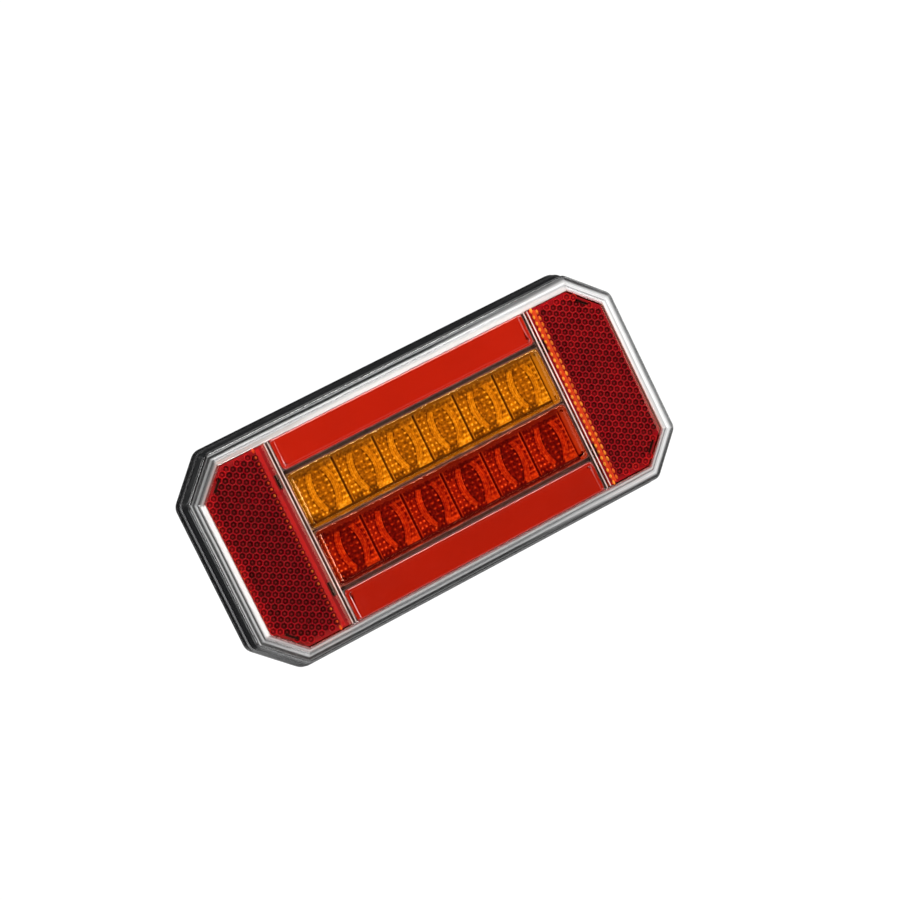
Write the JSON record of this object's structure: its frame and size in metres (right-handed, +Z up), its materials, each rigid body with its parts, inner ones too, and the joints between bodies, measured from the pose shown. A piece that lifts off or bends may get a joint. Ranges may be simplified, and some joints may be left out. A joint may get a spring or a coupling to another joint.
{
  "type": "trailer tail light",
  "caption": "Long octagonal sealed LED rear lamp with amber indicator row, red stop row, two red tail strips and a red reflex reflector at each end, held by rear studs.",
  "frame": {"origin": "in the mounting plane at the rear face of the gasket, midway between the two mounting studs", "axes": "+X along the lamp's long side, to the right for a person facing the lit face; +Y out of the back of the lamp, along the studs, so the lit face looks towards -Y; +Z up as installed"},
  "size_m": [0.2294, 0.048, 0.1108],
  "materials": {
    "housing_black": "fine spark-eroded texture, black ABS",
    "clear_lens": "clear polished acrylic",
    "red_panel": "polished opaque-looking red acrylic",
    "red_reflector": "polished clear red acrylic with prisms behind",
    "red_window": "polished clear red acrylic",
    "amber_window": "polished clear amber acrylic",
    "optic_clear": "clear moulded acrylic optics",
    "diffuser_white": "white light-spreading plastic",
    "shield_grey": "dark warm grey polycarbonate",
    "backing_grey": "light grey ABS",
    "gasket_foam": "closed-cell EPDM foam",
    "seal_silicone": "grey silicone cord",
    "grommet_rubber": "black moulded rubber",
    "stud_steel": "zinc-plated steel",
    "screw_steel": "zinc-plated steel",
    "board_green": "solder-masked glass-fibre board",
    "led_package": "white package with clear dome",
    "chip_black": "moulded epoxy with tinned leads",
    "capacitor_tan": "ceramic",
    "terminal_tin": "tinned brass"
  },
  "bodies": {
    "root": {"rear_housing": "housing_black", "cable_grommet": "grommet_rubber", "mounting_gasket": "gasket_foam", "mounting_studs": "stud_steel", "lens_frame": "clear_lens", "lens_seal": "seal_silicone", "light_shield": "shield_grey", "circuit_board": "board_green", "board_screws": "screw_steel", "driver_chips": "chip_black", "resistors": "chip_black", "capacitors": "capacitor_tan", "protection_diodes": "chip_black", "wire_terminals": "terminal_tin", "reflector_left": "red_reflector", "reflector_right": "red_reflector", "reflector_backing_left": "backing_grey", "reflector_backing_right": "backing_grey", "tail_panel_upper": "red_panel", "tail_panel_lower": "red_panel", "tail_diffuser_upper": "diffuser_white", "tail_diffuser_lower": "diffuser_white", "tail_leds_upper": "led_package", "tail_leds_lower": "led_package", "indicator_window": "amber_window", "stop_window": "red_window", "indicator_optic": "optic_clear", "stop_optic": "optic_clear", "indicator_leds": "led_package", "stop_leds": "led_package"}
  },
  "joints": []
}
